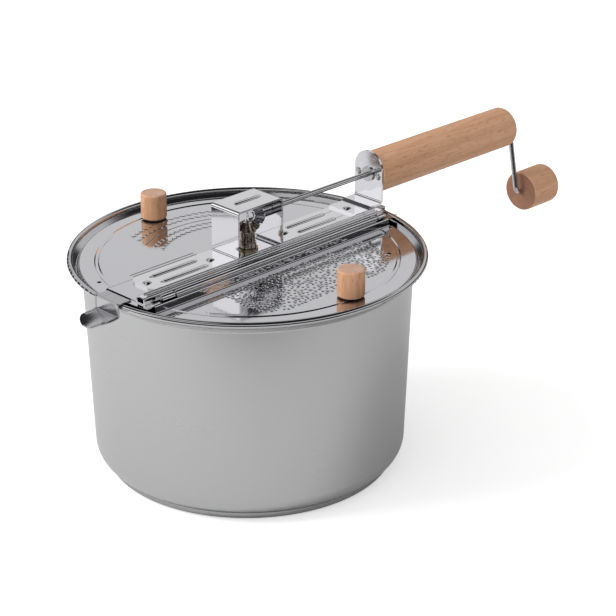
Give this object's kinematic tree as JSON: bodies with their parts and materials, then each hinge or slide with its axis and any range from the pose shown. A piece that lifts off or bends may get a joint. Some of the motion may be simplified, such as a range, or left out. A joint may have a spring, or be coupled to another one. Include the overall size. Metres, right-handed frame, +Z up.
{
  "type": "stovetop popcorn popper",
  "caption": "Steel stovetop pot with a clip-on lid, a hinged flap, a wooden side handle and a hand crank that turns an inner sweep stirrer through bevel gears.",
  "frame": {"origin": "centre of the pot's underside, where it rests on the stove", "axes": "+X along the crank rod and the handle, +Y towards the fixed half of the lid, +Z up; the hinged flap lies on the -Y side"},
  "size_m": [0.4752, 0.26, 0.2058],
  "materials": {
    "satin_steel": "satin, drawn and lightly brushed",
    "polished_steel": "mirror polished stainless sheet",
    "aluminium_core": "rolled",
    "beech": "sanded, oiled",
    "dark_bronze": "as cast, dark",
    "plated_gear": "bright plated",
    "brass_bush": "turned",
    "bright_rod": "bright drawn"
  },
  "bodies": {
    "pot": {"pot_body": "satin_steel", "heat_spreader": "aluminium_core", "base_cap": "polished_steel"},
    "lid": {"fixed_lid": "polished_steel", "hinge_rail": "polished_steel", "hinge_pin": "bright_rod", "hinge_knuckle_front": "polished_steel", "hinge_knuckle_rear": "polished_steel", "under_bar": "polished_steel", "gear_bracket": "polished_steel", "bracket_rivets": "plated_gear", "handle_bracket": "polished_steel", "handle_bush": "brass_bush", "handle_screws": "plated_gear", "handle_grip": "beech", "lid_bush": "brass_bush", "front_clip_saddle": "polished_steel", "rear_clip_saddle": "polished_steel", "back_knob": "beech", "back_knob_washer": "polished_steel", "back_knob_screw": "plated_gear"},
    "flap": {"lid_flap": "polished_steel", "front_knob": "beech", "front_knob_washer": "polished_steel", "front_knob_screw": "plated_gear"},
    "crank": {"crank_rod": "bright_rod", "crank_gear": "plated_gear", "knob_retainer": "plated_gear"},
    "crank_knob": {"crank_knob": "beech"},
    "stirrer": {"stirrer_gear": "dark_bronze", "stirrer_shaft": "bright_rod", "shaft_collar": "plated_gear", "stirrer_hub": "plated_gear", "stirrer_wire": "bright_rod"},
    "front_clip": {"front_clip_lever": "polished_steel"},
    "rear_clip": {"rear_clip_lever": "polished_steel"}
  },
  "joints": [
    {"name": "lid_lift", "type": "slide", "parent": "pot", "child": "lid", "axis": [0, 0, 1], "range_m": [0, 0.17]},
    {"name": "flap_hinge", "type": "hinge", "parent": "lid", "child": "flap", "pos_m": [0, -0.0276, 0.1646], "axis": [-1, 0, 0], "range_deg": [0, 105]},
    {"name": "crank_turn", "type": "hinge", "parent": "lid", "child": "crank", "pos_m": [0, 0, 0.1878], "axis": [1, 0, 0], "continuous": true},
    {"name": "stirrer_turn", "type": "hinge", "parent": "lid", "child": "stirrer", "pos_m": [0, 0, 0.1878], "axis": [0, 0, 1], "continuous": true},
    {"name": "knob_spin", "type": "hinge", "parent": "crank", "child": "crank_knob", "pos_m": [0.31, -0.01058, 0.13128], "axis": [1, 0, 0], "continuous": true},
    {"name": "front_clip_flex", "type": "hinge", "parent": "lid", "child": "front_clip", "pos_m": [-0.1309, 0, 0.1627], "axis": [0, 1, 0], "range_deg": [0, 12], "stiffness_Nm_per_rad": 0.6},
    {"name": "rear_clip_flex", "type": "hinge", "parent": "lid", "child": "rear_clip", "pos_m": [0.1309, 0, 0.1627], "axis": [0, -1, 0], "range_deg": [0, 12], "stiffness_Nm_per_rad": 0.6}
  ],
  "couplings": [
    {"joint": "stirrer_turn", "follows": "crank_turn", "ratio": 1.2}
  ]
}
